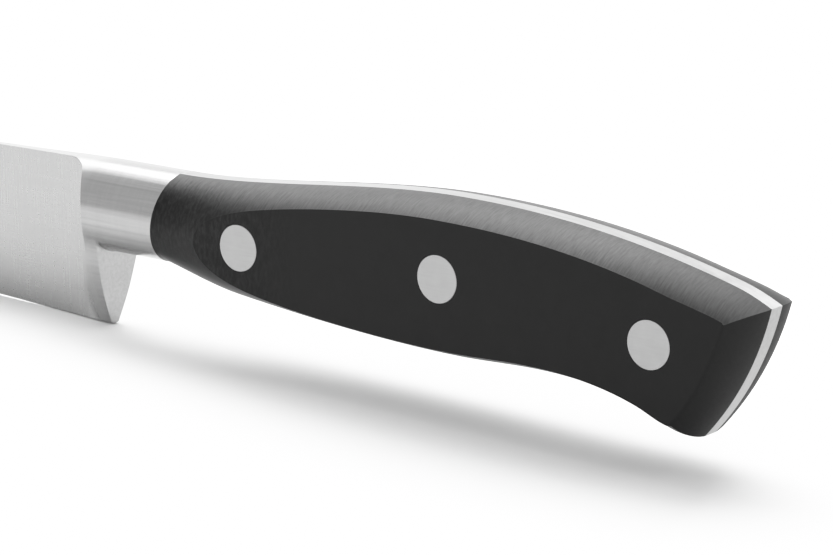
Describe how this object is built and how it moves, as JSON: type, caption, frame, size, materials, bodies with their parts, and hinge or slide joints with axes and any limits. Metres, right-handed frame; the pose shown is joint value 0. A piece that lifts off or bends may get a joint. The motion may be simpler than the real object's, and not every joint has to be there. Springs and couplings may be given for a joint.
{
  "type": "fillet knife",
  "caption": "Forged fillet knife with a slim satin blade, round-necked bolster, full tang and dark riveted scales on a curved handle.",
  "frame": {"origin": "under the middle of the knife's length, in its plane of symmetry, level with the lowest point of the heel", "axes": "+X from the butt to the tip, +Y to the knife's left side, +Z from the cutting edge to the spine"},
  "size_m": [0.3193, 0.0166, 0.0297],
  "materials": {
    "blade_steel": "satin ground blade faces, polished bolster, ground tang edge",
    "scale_plastic": "moulded black plastic, satin on the cheeks, sanded on the shoulders and the butt",
    "rivet_steel": "ground flush with the cheeks, finely scratched"
  },
  "bodies": {
    "root": {"blade_and_tang": "blade_steel", "scale_left": "scale_plastic", "scale_right": "scale_plastic", "rivet_front_tube": "rivet_steel", "rivet_front_post": "rivet_steel", "rivet_middle_tube": "rivet_steel", "rivet_middle_post": "rivet_steel", "rivet_rear_tube": "rivet_steel", "rivet_rear_post": "rivet_steel"}
  },
  "joints": []
}
